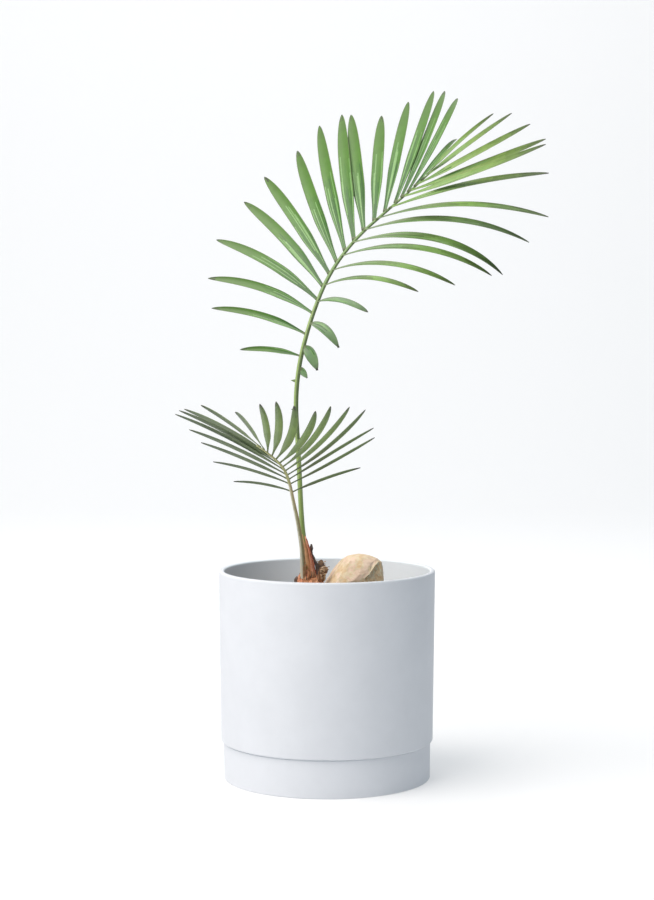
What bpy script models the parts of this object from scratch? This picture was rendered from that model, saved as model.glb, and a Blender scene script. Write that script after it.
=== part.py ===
"""A potted sago palm: a young cycad with a tall arching frond and a short one, in a plain
ceramic pot that stands in its saucer.

Units are metres and +Z is up. The origin is on the pot's axis at the floor, and the plant's
front, where the short frond leans out, faces -Y.
"""

from collections import namedtuple
from math import cos, pi, radians, sin

import bmesh
import bpy
import numpy as np
from mathutils import Vector

MM = 0.001
GAP = 0.3 * MM  # clearance between pieces that touch

# Pot and saucer
RIM_HEIGHT = 174.4 * MM
RIM_RADIUS = 90.0 * MM
POT_LOW_RADIUS = 88.4 * MM
POT_WALL = 4.5 * MM
SAUCER_HEIGHT = 31.5 * MM
SAUCER_RADIUS = 86.5 * MM
SAUCER_LOW_RADIUS = 86.1 * MM
SAUCER_WALL = 5.0 * MM
SAUCER_FLOOR = 6.0 * MM
POT_FLOOR = 6.0 * MM
FOOT_CLEARANCE = 1.0 * MM  # between the pot's foot and the saucer's wall
INSIDE_FILLET = 3.0 * MM
LIP_FILLET = 1.8 * MM
EDGE_FILLET = 1.2 * MM
ARC_STEPS = 3
TURN_STEPS = 48
MERGED = 0.01 * MM  # points closer than this become one

# What the pot holds
SOIL_HEIGHT = 149.0 * MM
STONE_SIZE = (55.0 * MM, 42.0 * MM, 38.7 * MM)
STONE_PLACE = (22.5 * MM, 6.0 * MM, SOIL_HEIGHT + 17.4 * MM)
STONE_TURN = -15.5
CAUDEX_PLACE = (-15.0 * MM, 1.0 * MM)
CAUDEX_HEIGHT = 21.0 * MM
CAUDEX_RADIUS = 12.0 * MM
CAUDEX_STEPS = 20
# The caudex's outline from its top down, as shares of its radius and height: its crown,
# shoulder, waist and flared foot
CAUDEX_OUTLINE = ((0.62, 0.95), (1.0, 0.55), (1.05, 0.16), (1.35, 0.0))
SOCKET_DEPTH = 5.0 * MM  # how far the cut for a petiole runs on below its foot
SOCKET_TOP = 60.0 * MM

# Fronds
STEP = 2.0 * MM  # along a rib, between the points that it is worked out from
RIB_SIDES = 8
RIB_STEP = 7.0 * MM
RIB_FLATNESS = 0.8  # how far a rib rises on its upper side, as a share of a full round
LEAFLET_SECTIONS = 9
LEAFLET_THICKNESS = 1.1 * MM
LEAFLET_SLIMNESS = 0.0105  # a long leaflet's thickness, as a share of its length
THINNEST = 0.4  # its thickness where it is narrowest, as a share of its full thickness
LEAFLET_CHANNEL = 0.8 * MM
TWISTED_BY = 0.25  # the share of its length by which a leaflet has turned to its full twist
SHORT_LEAFLET = 45.0 * MM  # one shorter than this is oval
OVAL_FROM = 0.1  # where on the oval its foot lies, as a share of the oval's length
OVAL_LEAST = 0.12
OVAL_FULLNESS = 0.7
WIDEST_FROM = 0.36  # a long leaflet is at its full width between these shares of its length
WIDEST_TO = 0.5
LEAFLET_FOOT = 0.32  # its width at its foot, as a share of its full width
LEAFLET_TIP = 0.01
TIP_LATENESS = 2.6  # the higher, the later it narrows towards its tip
TIP_ROUNDNESS = 0.62  # the lower, the rounder its tip

# A stem's lean from upright, to the right and to the back, at distances along it in mm
Stem = namedtuple("Stem", "foot bearing length at right back width")
# A row of leaflets. Every pair in a tuple of pairs is a leaflet's number and its value there.
# The row's places on the rib, lengths and widths are in mm, and its angles in degrees: angles
# are each leaflet's lean from the rib, raised lifts it out of the blade's plane, and droop,
# sweep and twist bend it down, bend it towards the frond's tip and turn it about itself.
Row = namedtuple("Row", "side place angles lengths raised droop sweep twist width")

TALL_STEM = Stem(
    foot=(-11.6 * MM, 4.0 * MM, 164.5 * MM),
    bearing=40,
    length=404,
    at=(0, 15, 50, 75, 135, 195, 245, 285, 325, 365, 415),
    right=(-13.5, -15.5, -3.5, -2.5, -3.5, 13.5, 22, 37, 49, 49, 45.5),
    back=(0, 0, 0.5, 1, 5, 12, 19, 23, 25, 27, 29),
    width=((0, 5.6), (60, 4.3), (180, 3.9), (260, 3.4), (330, 2.6), (404, 1.3)),
)
TALL_LEFT = Row(
    side=-1,
    place=((1, 189), (3, 227), (13, 352), (16, 375)),
    angles=(80, 72, 69, 62, 54.5, 54.5, 52, 49.5, 48, 50, 45, 38, 30.5, 26.5, 21, 10.5),
    lengths=(53, 89, 106, 124, 134, 149, 167, 181, 177, 164, 155, 166, 176, 183, 178, 104),
    raised=((1, 39), (7, 24), (11, 25), (15, 30)),
    droop=((1, -1), (4, 16), (7, 23), (10, 16), (13, 27), (16, 47)),
    sweep=((1, -27), (3, -30), (5, -13), (7, 2), (9, 1), (12, -7), (14, -18), (16, -28)),
    twist=((1, 6), (4, 1), (8, -12), (11, -11), (14, -13), (16, -4)),
    width=((1, 4.8), (3, 7.3), (5, 9.7), (8, 11.1), (10, 11.9), (12, 10.3), (15, 7.2), (16, 5)),
)
TALL_RIGHT = Row(
    side=1,
    place=((1, 179), (4, 237), (12, 360), (16, 392)),
    angles=(113.5, 114.5, 83, 66.5, 59.5, 60, 54, 51.5, 51, 55.5, 53.5, 63, 60.5, 63.5, 52, 76),
    lengths=(12, 26, 37, 50, 87, 112, 137, 143, 148, 156, 151, 167, 147, 132, 101, 99),
    raised=((1, -12), (4, -1), (8, -4), (10, 6), (13, 6), (16, 32)),
    droop=((1, 28), (3, 49), (5, 53), (8, 82), (10, 44), (12, -5), (16, 11)),
    sweep=((1, -38), (3, -75), (4, -45), (5, -33), (7, -7), (9, 11), (12, -9), (16, 20)),
    twist=((1, 0), (3, -23), (5, -23), (8, 7), (10, -3), (13, 12), (16, 28)),
    width=((1, 6), (2, 9.7), (3, 8.3), (4, 6.3), (6, 6.5), (8, 8.2), (11, 9.4), (14, 9.6), (16, 7)),
)
LOW_STEM = Stem(
    foot=(-19.5 * MM, -3.9 * MM, 163.8 * MM),
    bearing=247,
    length=158,
    at=(0, 10, 40, 70, 90, 110, 130, 160),
    right=(-2, -1, -7.5, -11.5, -9, -17.5, -43, -56.5),
    back=(-12, -12, -24, -35, -42, -47, -50, -52),
    width=((0, 5.4), (30, 3.6), (80, 2.8), (130, 1.9), (158, 1.2)),
)
LOW_LEFT = Row(
    side=1,
    place=((1, 89), (2, 98), (7, 126), (8, 153), (9, 149)),
    angles=(68.5, 62, 56, 50, 49, 54, 71.5, 62, 92),
    lengths=(49, 66, 78, 89, 100, 96, 103, 69, 77),
    raised=((1, 0), (4, 6), (7, 32), (9, 49)),
    droop=((1, 32), (3, 14), (5, 14), (7, 13), (8, 14), (9, 15)),
    sweep=((1, 4), (3, 2), (5, -4), (7, -7), (8, -13), (9, -15)),
    twist=((1, -19), (5, 4), (7, 24), (8, 31), (9, 42)),
    width=((1, 4.7), (4, 5.8), (9, 5.7)),
)
LOW_RIGHT = Row(
    side=-1,
    place=((1, 88), (2, 98), (9, 138), (10, 144)),
    angles=(66, 64.5, 57, 58, 57, 59, 61, 56.5, 47, 39),
    lengths=(63, 89, 98, 112, 107, 100, 90, 88, 91, 86),
    raised=((1, 24), (4, 16), (7, 8), (10, 8)),
    droop=((1, 12), (2, 9), (3, 11), (4, 9), (6, 5), (8, 4), (10, 11)),
    sweep=((1, -6), (2, 12), (3, 6), (4, 24), (5, 23), (6, 28), (8, 28), (10, 9)),
    twist=((1, 15), (2, 19), (3, 21), (4, 18), (6, 8), (8, 0), (10, -11)),
    width=((1, 4.1), (4, 5), (8, 6.7), (10, 6)),
)

# The tall frond is cut here, at its bend, and where its petiole ends
TALL_PETIOLE_END = 0.166
TALL_BEND = 0.273
LOW_PETIOLE_END = 0.078


def unit(vectors):
    """The vectors, one or many, at length 1."""
    return vectors / np.linalg.norm(vectors, axis=-1, keepdims=True)


def between(pairs, where):
    """The value at a place, on straight lines between pairs of place and value."""
    places, values = zip(*pairs)
    return np.interp(where, places, values)


def stem_points(stem):
    """Points along a stem's middle, STEP apart, from its foot."""
    middles = (np.arange(round(stem.length * MM / STEP)) + 0.5) * STEP
    right = np.tan(np.radians(np.interp(middles, np.multiply(stem.at, MM), stem.right)))
    back = np.tan(np.radians(np.interp(middles, np.multiply(stem.at, MM), stem.back)))
    ways = unit(np.stack([right, back, np.ones_like(right)], axis=1))
    return np.vstack([stem.foot, stem.foot + np.cumsum(ways * STEP, axis=0)])


def stem_frames(stem):
    """(points, along, side, up): a stem's points with their directions.

    side points across the blade, to the right of the way that the frond leans, and up is the
    normal of the blade's upper face."""
    points = stem_points(stem)
    along = unit(np.gradient(points, axis=0))
    level = np.array([sin(radians(stem.bearing)), -cos(radians(stem.bearing)), 0.0])
    side = unit(level - (along @ level)[:, None] * along)
    return points, along, side, np.cross(side, along)


def leaflet_course(frames, row, number):
    """(points, along, across, up) down the middle of one leaflet, from inside the rib."""
    place = between(row.place, number) * MM / STEP
    low = int(place)
    point, along, side, up = (
        lines[low] * (1 - place + low) + lines[low + 1] * (place - low) for lines in frames
    )
    turn = radians(row.angles[number - 1])
    lift = radians(between(row.raised, number))
    out = cos(lift) * row.side * side + sin(lift) * up
    face = cos(lift) * up - sin(lift) * row.side * side
    start = cos(turn) * along + sin(turn) * out
    across = sin(turn) * along - cos(turn) * out
    length = row.lengths[number - 1] * MM
    share = np.linspace(0, 1, LEAFLET_SECTIONS)
    droop = np.radians(between(row.droop, number)) * share[:, None]
    sweep = np.radians(between(row.sweep, number)) * share[:, None]
    level = np.cos(sweep) * start + np.sin(sweep) * across
    ways = unit(np.cos(droop) * level - np.sin(droop) * face)
    faces = unit(np.cos(droop) * face + np.sin(droop) * level)
    steps = (ways[1:] + ways[:-1]) / 2 * length / (LEAFLET_SECTIONS - 1)
    points = np.vstack([point, point + np.cumsum(steps, axis=0)])
    twist = np.radians(between(row.twist, number)) * np.minimum(share / TWISTED_BY, 1)[:, None]
    level = np.cross(faces, ways)
    across = np.cos(twist) * level + np.sin(twist) * faces
    return points, ways, across, np.cross(ways, across)


def blade_outline(share, length):
    """A leaflet's width, as a share of its full width, at each share of its length."""
    if length < SHORT_LEAFLET:
        oval = np.sin(pi * (OVAL_FROM + (1 - OVAL_FROM) * share))
        return np.clip(oval, OVAL_LEAST, 1) ** OVAL_FULLNESS
    rise = np.clip(share / WIDEST_FROM, 0, 1)
    fall = np.clip((share - WIDEST_TO) / (1 - WIDEST_TO), 0, 1)
    wider = LEAFLET_FOOT + (1 - LEAFLET_FOOT) * rise * rise * (3 - 2 * rise)
    return wider * (1 - (1 - LEAFLET_TIP) * fall**TIP_LATENESS) ** TIP_ROUNDNESS


def object_from(name, mesh):
    """A new object in the scene for a mesh."""
    made = bpy.data.objects.new(name, mesh)
    bpy.context.scene.collection.objects.link(made)
    return made


def loft(name, sections):
    """A closed solid through rings of points, each ring given as an array."""
    work = bmesh.new()
    rings = [[work.verts.new(point) for point in ring] for ring in sections]
    for ring, after in zip(rings, rings[1:]):
        for i in range(len(ring)):
            j = (i + 1) % len(ring)
            work.faces.new((ring[i], ring[j], after[j], after[i]))
    work.faces.new(rings[0][::-1])
    work.faces.new(rings[-1])
    bmesh.ops.recalc_face_normals(work, faces=work.faces)
    mesh = bpy.data.meshes.new(name)
    work.to_mesh(mesh)
    work.free()
    return object_from(name, mesh)


def leaflet(frames, row, number):
    """A thin channelled blade with four edges."""
    points, _, across, up = leaflet_course(frames, row, number)
    length = row.lengths[number - 1] * MM
    shares = np.linspace(0, 1, LEAFLET_SECTIONS)
    full = between(row.width, number) * MM / 2
    halves = blade_outline(shares, length) * full
    thickness = max(LEAFLET_THICKNESS, LEAFLET_SLIMNESS * length)
    sections = []
    for point, right, face, half in zip(points, across, up, halves):
        middle = point - face * LEAFLET_CHANNEL * half / full
        depth = thickness / 2 * min(1, THINNEST + half / full)
        edges = (point + right * half, middle + face * depth, point - right * half)
        sections.append(np.array([*edges, middle - face * depth]))
    return loft("leaflet", sections)


def rib(name, stem, start, end, grow=0.0):
    """A stretch of a stem, round below and flatter above, tapering as the stem does."""
    frames = stem_frames(stem)
    places = np.linspace(start, end, max(3, round((end - start) / RIB_STEP)))
    turns = np.arange(RIB_SIDES) * 2 * pi / RIB_SIDES + pi / RIB_SIDES
    known = np.arange(len(frames[0])) * STEP
    sections = []
    for place in places:
        inside = np.clip(place, 0, known[-1])
        point, along, side, up = (
            np.array([np.interp(inside, known, line[:, axis]) for axis in range(3)])
            for line in frames
        )
        point = point + along * (place - inside)
        half = between(stem.width, place / MM) * MM / 2 + grow
        rises = [RIB_FLATNESS if sin(turn) > 0 else 1 for turn in turns]
        sections.append(np.array([
            point + half * (side * cos(turn) + up * sin(turn) * rise)
            for turn, rise in zip(turns, rises)
        ]))
    return loft(name, sections)


def combine(base, others, operation):
    """Joins the others to the base, or cuts them from it, and removes them."""
    group = bpy.data.collections.new("tools")
    for other in others:
        group.objects.link(other)
    change = base.modifiers.new(operation.lower(), "BOOLEAN")
    change.operand_type = "COLLECTION"
    change.collection = group
    change.operation = operation
    change.solver = "EXACT"
    bpy.context.view_layer.update()
    graph = bpy.context.evaluated_depsgraph_get()
    mesh = bpy.data.meshes.new_from_object(base.evaluated_get(graph))
    base.modifiers.clear()
    base.data = mesh
    for other in others:
        bpy.data.objects.remove(other)
    bpy.data.collections.remove(group)
    return base


def frond(name, stem, rows, start, end):
    """The part of a frond between two places on its stem: its rib with the leaflets there."""
    frames = stem_frames(stem)
    leaflets = []
    for row in rows:
        for number in range(1, len(row.angles) + 1):
            if start < between(row.place, number) * MM < end:
                leaflets.append(leaflet(frames, row, number))
    return combine(rib(name, stem, start, end), leaflets, "UNION")


def filleted(corners):
    """An outline from corners of (radius, height, fillet), with each fillet as an arc."""
    outline = []
    for i, (radius, height, fillet) in enumerate(corners):
        corner = np.array([radius, height])
        if not fillet:
            outline.append(corner)
            continue
        before = unit(np.array(corners[i - 1][:2]) - corner)
        after = unit(np.array(corners[i + 1][:2]) - corner)
        half_angle = np.arccos(np.clip(before @ after, -1, 1)) / 2
        reach = fillet / np.tan(half_angle)
        centre = corner + unit(before + after) * fillet / np.sin(half_angle)
        first = corner + before * reach - centre
        last = corner + after * reach - centre
        sweep = pi - 2 * half_angle
        for step in range(ARC_STEPS + 1):
            share = step / ARC_STEPS
            mix = first * sin(sweep * (1 - share)) + last * sin(sweep * share)
            outline.append(centre + mix / sin(sweep))
    return outline


def turned(name, corners, steps=TURN_STEPS):
    """A solid of revolution about Z from an outline that starts and ends on the axis."""
    outline = filleted(corners)
    mesh = bpy.data.meshes.new(name)
    edges = [(i, i + 1) for i in range(len(outline) - 1)]
    mesh.from_pydata([(radius, 0, height) for radius, height in outline], edges, [])
    made = object_from(name, mesh)
    screw = made.modifiers.new("turn", "SCREW")
    screw.steps = steps
    screw.render_steps = steps
    screw.use_merge_vertices = True
    screw.merge_threshold = MERGED
    screw.use_smooth_shade = True
    return made


def pot():
    """A thin cylinder, slightly wider at its rim, whose foot steps in to sit in the saucer."""
    floor = SAUCER_FLOOR + GAP
    step = SAUCER_HEIGHT + GAP
    foot = SAUCER_RADIUS - SAUCER_WALL - FOOT_CLEARANCE
    foot_inside = foot - POT_WALL
    return turned(
        "pot",
        [
            (0, floor + POT_FLOOR, 0),
            (foot_inside, floor + POT_FLOOR, INSIDE_FILLET),
            (foot_inside, step + POT_WALL, INSIDE_FILLET),
            (POT_LOW_RADIUS - POT_WALL, step + POT_WALL, INSIDE_FILLET),
            (RIM_RADIUS - POT_WALL, RIM_HEIGHT, LIP_FILLET),
            (RIM_RADIUS, RIM_HEIGHT, LIP_FILLET),
            (POT_LOW_RADIUS, step, EDGE_FILLET),
            (foot, step, 0),
            (foot, floor, EDGE_FILLET),
            (0, floor, 0),
        ],
    )


def saucer():
    """A straight-sided dish with a flat underside."""
    inside = SAUCER_RADIUS - SAUCER_WALL
    return turned(
        "saucer",
        [
            (0, SAUCER_FLOOR, 0),
            (inside, SAUCER_FLOOR, EDGE_FILLET),
            (inside, SAUCER_HEIGHT, EDGE_FILLET),
            (SAUCER_RADIUS, SAUCER_HEIGHT, EDGE_FILLET),
            (SAUCER_LOW_RADIUS, 0, EDGE_FILLET),
            (0, 0, 0),
        ],
    )


def soil():
    """The potting mix, which fills the pot to below its rim."""
    floor = SAUCER_FLOOR + POT_FLOOR + 2 * GAP
    step = SAUCER_HEIGHT + POT_WALL + 2 * GAP
    low = SAUCER_RADIUS - SAUCER_WALL - FOOT_CLEARANCE - POT_WALL - GAP
    waist = POT_LOW_RADIUS - POT_WALL - GAP
    slope = (RIM_RADIUS - POT_LOW_RADIUS) / (RIM_HEIGHT - SAUCER_HEIGHT)
    top = waist + slope * (SOIL_HEIGHT - SAUCER_HEIGHT)
    return turned(
        "soil",
        [
            (0, SOIL_HEIGHT, 0),
            (top, SOIL_HEIGHT, 0),
            (waist, step, INSIDE_FILLET),
            (low, step, INSIDE_FILLET),
            (low, floor, INSIDE_FILLET),
            (0, floor, 0),
        ],
    )


# The flat places on the stone: which way each faces, and how far out it lies, as a share of
# the distance to the round surface
STONE_FLATS = (
    ((1.0, -0.1, -0.13), 0.88),
    ((-0.75, -0.2, 0.66), 0.62),
    ((-0.93, -0.3, -0.36), 0.78),
    ((0.62, -0.78, -0.2), 0.82),
    ((-0.2, -0.85, 0.5), 0.88),
    ((0.3, 0.9, 0.5), 0.84),
    ((0.0, 0.0, -1.0), 0.80),
)
STONE_WEAR = 0.85  # how much of what stands past a flat is worn away
STONE_DIVISIONS = 3


def stone(grow=0.0):
    """A rounded pebble with a few worn flats."""
    work = bmesh.new()
    bmesh.ops.create_icosphere(work, subdivisions=STONE_DIVISIONS, radius=1)
    for vertex in work.verts:
        for facing, share in STONE_FLATS:
            normal = unit(np.array(facing))
            past = float(np.dot(vertex.co, normal)) - share
            if past > 0:
                vertex.co -= Vector(normal * past * STONE_WEAR)
        for axis in range(3):
            vertex.co[axis] *= STONE_SIZE[axis] / 2 + grow
    mesh = bpy.data.meshes.new("stone")
    work.to_mesh(mesh)
    work.free()
    mesh.shade_smooth()
    made = object_from("stone", mesh)
    made.location = STONE_PLACE
    made.rotation_euler = (0, radians(STONE_TURN), 0)
    return made


# The crown's pointed scales: foot and tip in mm from the caudex's foot, then width in mm
CROWN_SCALES = (
    ((5.0, -2.5, 14), (-3.0, -1.0, 52.5), 8.0),
    ((-0.5, -1.2, 10), (-2.8, -1.3, 30.0), 9.0),
    ((-1.0, -6.5, 8), (-0.4, -7.5, 24.0), 9.0),
    ((6.0, -4.0, 8), (8.5, -5.5, 24.0), 7.0),
    ((-5.5, -5.5, 8), (-8.2, -6.5, 21.0), 7.0),
    ((-7.5, 4.0, 6), (-9.5, 6.0, 18.0), 7.5),
    ((0.0, 8.0, 8), (-0.5, 10.5, 25.0), 8.0),
    ((6.5, 5.0, 8), (9.0, 7.5, 22.0), 7.0),
)
SCALE_SECTIONS = 6
SCALE_BOW = 1.2 * MM
SCALE_THICKNESS = 2.6 * MM
SCALE_NARROWING = 0.85  # how much of a scale's width and thickness is gone at its tip
SCALE_THINNING = 0.6
# A withered scale with a knob near its tip: its middle and its width, in mm from the
# caudex's foot
WITHERED_SCALE = (
    ((7.6, 0.5, 13.0), 4.6),
    ((6.8, 0.5, 27.5), 3.2),
    ((3.8, 0.5, 34.0), 2.4),
    ((1.7, 0.5, 39.8), 1.9),
    ((2.0, 0.5, 42.6), 3.5),
    ((1.8, 0.5, 46.0), 0.8),
)
WITHERED_DEPTH = 0.8  # its thickness from front to back, as a share of its width
# The dry stub of an old leaf, and the knob of another at the left: their lobes' centres and
# sizes, in mm from the caudex's foot
STUB_LOBES = (
    ((8.5, 1.5, 12.0), (8.0, 8.0, 9.0)),
    ((10.8, 2.0, 18.5), (6.0, 7.0, 9.0)),
    ((11.5, 2.0, 24.0), (8.5, 7.5, 8.0)),
    ((10.0, 2.0, 28.4), (5.0, 5.5, 8.6)),
    ((-10.2, -1.0, 15.5), (4.4, 5.0, 7.2)),
)
LOBE_SIDES = 10
LOBE_RINGS = 7


def six_sided(middle, across, half, outward, depth):
    """A ring of six points round a middle, as wide as half each way and as thick as depth."""
    turns = np.arange(6) * pi / 3
    return np.array([
        middle + across * half * cos(turn) + outward * depth * sin(turn)
        for turn in turns
    ])


def crown_scale(base, foot, tip, width):
    """A pointed scale that stands on the caudex and bows outward."""
    foot = base + np.array(foot) * MM
    tip = base + np.array(tip) * MM
    outward = unit(np.array([foot[0] - base[0], foot[1] - base[1], 0.0]))
    level = np.array([-outward[1], outward[0], 0.0])
    sections = []
    for share in np.linspace(0, 1, SCALE_SECTIONS):
        middle = foot + (tip - foot) * share + outward * SCALE_BOW * sin(pi * share)
        half = width * MM / 2 * (1 - SCALE_NARROWING * share)
        depth = SCALE_THICKNESS / 2 * (1 - SCALE_THINNING * share)
        sections.append(six_sided(middle, level, half, outward, depth))
    return loft("scale", sections)


def withered_scale(base):
    """The thin dry scale that stands beside the tall stalk."""
    across = np.array([1.0, 0.0, 0.0])
    outward = np.array([0.0, 1.0, 0.0])
    sections = []
    for middle, width in WITHERED_SCALE:
        half = width * MM / 2
        middle = base + np.array(middle) * MM
        sections.append(six_sided(middle, across, half, outward, half * WITHERED_DEPTH))
    return loft("withered", sections)


def lobe(centre, size):
    """An ellipsoid, of a given size each way."""
    work = bmesh.new()
    bmesh.ops.create_uvsphere(work, u_segments=LOBE_SIDES, v_segments=LOBE_RINGS, radius=0.5)
    for vertex in work.verts:
        for axis in range(3):
            vertex.co[axis] = centre[axis] + vertex.co[axis] * size[axis]
    mesh = bpy.data.meshes.new("lobe")
    work.to_mesh(mesh)
    work.free()
    return object_from("lobe", mesh)


def caudex():
    """The short trunk, flared at the soil and cut flat there, with its scales and old stub."""
    base = np.array([*CAUDEX_PLACE, SOIL_HEIGHT + GAP])
    fillets = (INSIDE_FILLET, INSIDE_FILLET, LIP_FILLET, 0)
    outline = [
        (CAUDEX_RADIUS * wide, CAUDEX_HEIGHT * high, fillet)
        for (wide, high), fillet in zip(CAUDEX_OUTLINE, fillets)
    ]
    body = turned("caudex", [(0, CAUDEX_HEIGHT, 0), *outline, (0, 0, 0)], CAUDEX_STEPS)
    body.location = base
    pieces = [crown_scale(base, *scale) for scale in CROWN_SCALES]
    pieces.append(withered_scale(base))
    for centre, size in STUB_LOBES:
        pieces.append(lobe(base + np.array(centre) * MM, np.array(size) * MM))
    combine(body, pieces, "UNION")
    sockets = [
        rib("socket", TALL_STEM, -SOCKET_DEPTH, SOCKET_TOP, GAP),
        rib("socket", LOW_STEM, -SOCKET_DEPTH, SOCKET_TOP, GAP),
    ]
    return combine(body, sockets, "DIFFERENCE")


def material(name, colour, roughness):
    """A plain material."""
    made = bpy.data.materials.new(name)
    made.use_nodes = True
    shader = made.node_tree.nodes["Principled BSDF"]
    shader.inputs["Base Color"].default_value = (*colour, 1)
    shader.inputs["Roughness"].default_value = roughness
    return made


def main():
    """Clears the scene and builds every piece of the plant, its pot and its saucer."""
    for old in list(bpy.data.objects):
        bpy.data.objects.remove(old)
    ceramic = material("ceramic", (0.72, 0.74, 0.77), 0.6)
    earth = material("earth", (0.10, 0.07, 0.05), 0.95)
    pebble = material("pebble", (0.62, 0.52, 0.38), 0.85)
    scales = material("scales", (0.36, 0.17, 0.08), 0.85)
    stalk = material("stalk", (0.30, 0.38, 0.12), 0.55)
    leaf = material("leaf", (0.16, 0.32, 0.09), 0.45)

    bed = stone(GAP)
    bed.name = "bed"
    ground = soil()
    combine(ground, [bed], "DIFFERENCE")
    pieces = (
        (saucer(), ceramic),
        (pot(), ceramic),
        (ground, earth),
        (stone(), pebble),
        (caudex(), scales),
        (rib("petiole_tall", TALL_STEM, GAP - SOCKET_DEPTH, TALL_PETIOLE_END - GAP), stalk),
        (rib("petiole_low", LOW_STEM, GAP - SOCKET_DEPTH, LOW_PETIOLE_END - GAP), stalk),
    )
    tall_rows = (TALL_LEFT, TALL_RIGHT)
    low_rows = (LOW_LEFT, LOW_RIGHT)
    tall_end = TALL_STEM.length * MM
    fronds = (
        frond("frond_tall_lower", TALL_STEM, tall_rows, TALL_PETIOLE_END, TALL_BEND - GAP),
        frond("frond_tall_upper", TALL_STEM, tall_rows, TALL_BEND, tall_end),
        frond("frond_low", LOW_STEM, low_rows, LOW_PETIOLE_END, LOW_STEM.length * MM),
    )
    palm = bpy.data.collections.new("potted_sago_palm")
    bpy.context.scene.collection.children.link(palm)
    for piece, finish in pieces + tuple((blade, leaf) for blade in fronds):
        piece.data.materials.clear()
        piece.data.materials.append(finish)
        bpy.context.scene.collection.objects.unlink(piece)
        palm.objects.link(piece)


main()
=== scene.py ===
"""The looks of the potted sago palm: its pot and saucer, potting mix, pebble, crown, stalks
and leaflets, under soft studio light.

Units are metres and +Z is up. Every piece lies where its solid lies in the frame, and the
fronds grow by the same rule as their solids, carried to finer blades.
"""

from collections import namedtuple
from math import cos, pi, radians, sin

import bmesh
import bpy
import numpy as np
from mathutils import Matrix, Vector, noise

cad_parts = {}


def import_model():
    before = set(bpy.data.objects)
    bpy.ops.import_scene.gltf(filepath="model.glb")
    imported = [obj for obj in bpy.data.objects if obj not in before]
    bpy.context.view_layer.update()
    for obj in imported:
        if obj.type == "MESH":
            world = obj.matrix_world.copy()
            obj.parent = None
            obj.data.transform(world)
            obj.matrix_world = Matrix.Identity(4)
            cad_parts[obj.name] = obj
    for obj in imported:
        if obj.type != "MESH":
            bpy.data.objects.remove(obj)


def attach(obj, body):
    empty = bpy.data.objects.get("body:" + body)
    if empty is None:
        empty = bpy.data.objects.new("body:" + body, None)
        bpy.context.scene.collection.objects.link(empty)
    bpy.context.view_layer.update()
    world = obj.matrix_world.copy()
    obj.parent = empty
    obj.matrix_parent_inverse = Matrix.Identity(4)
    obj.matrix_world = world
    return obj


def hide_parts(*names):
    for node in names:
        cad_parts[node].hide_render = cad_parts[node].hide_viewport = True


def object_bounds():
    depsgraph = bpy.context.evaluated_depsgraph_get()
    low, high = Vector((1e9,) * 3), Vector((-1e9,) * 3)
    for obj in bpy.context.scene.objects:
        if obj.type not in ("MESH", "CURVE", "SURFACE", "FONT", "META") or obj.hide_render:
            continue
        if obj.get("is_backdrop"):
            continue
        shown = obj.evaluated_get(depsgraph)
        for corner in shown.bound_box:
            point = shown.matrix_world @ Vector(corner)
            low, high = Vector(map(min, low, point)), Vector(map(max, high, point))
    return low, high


MM = 0.001
SEED = 11

# The camera, as worked out from the pot's ellipses
CAMERA_PLACE = (0, -1.761, 0.392)
CAMERA_PITCH = -3.83
CAMERA_LENS = 85
CAMERA_SENSOR = 36

# Pot and saucer, as in the solids
GAP = 0.3 * MM
RIM_HEIGHT = 174.4 * MM
RIM_RADIUS = 90.0 * MM
POT_LOW_RADIUS = 88.4 * MM
POT_WALL = 4.5 * MM
SAUCER_HEIGHT = 31.5 * MM
SAUCER_RADIUS = 86.5 * MM
SAUCER_LOW_RADIUS = 86.1 * MM
SAUCER_WALL = 5.0 * MM
SAUCER_FLOOR = 6.0 * MM
POT_FLOOR = 6.0 * MM
FOOT_CLEARANCE = 1.0 * MM
INSIDE_FILLET = 3.0 * MM
LIP_FILLET = 1.8 * MM
EDGE_FILLET = 1.2 * MM
ARC_STEPS = 8
TURN_STEPS = 256
MERGED = 0.01 * MM

# What the pot holds, as in the solids
SOIL_HEIGHT = 149.0 * MM
STONE_SIZE = (55.0 * MM, 42.0 * MM, 38.7 * MM)
STONE_PLACE = (22.5 * MM, 6.0 * MM, SOIL_HEIGHT + 17.4 * MM)
STONE_TURN = -15.5
CAUDEX_PLACE = (-15.0 * MM, 1.0 * MM)
CAUDEX_HEIGHT = 21.0 * MM
CAUDEX_RADIUS = 12.0 * MM
CAUDEX_FLARE = 1.35  # how wide its foot is, as a share of its radius
SOCKET_DEPTH = 5.0 * MM

# The potting mix: its uneven top, and the crumbs of bark on it
SOIL_RADIUS = 84.2 * MM
SOIL_RELIEF = 1.1 * MM
SOIL_LUMP = 7.0 * MM
SOIL_RINGS = 70
SOIL_SECTORS = 220
SOIL_SKIRT = 12.0 * MM
CRUMBS = 1100
CRUMB_SIZES = (1.0 * MM, 3.6 * MM)
CRUMB_FLATNESS = 0.5
CRUMB_LUMPINESS = 0.35

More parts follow.
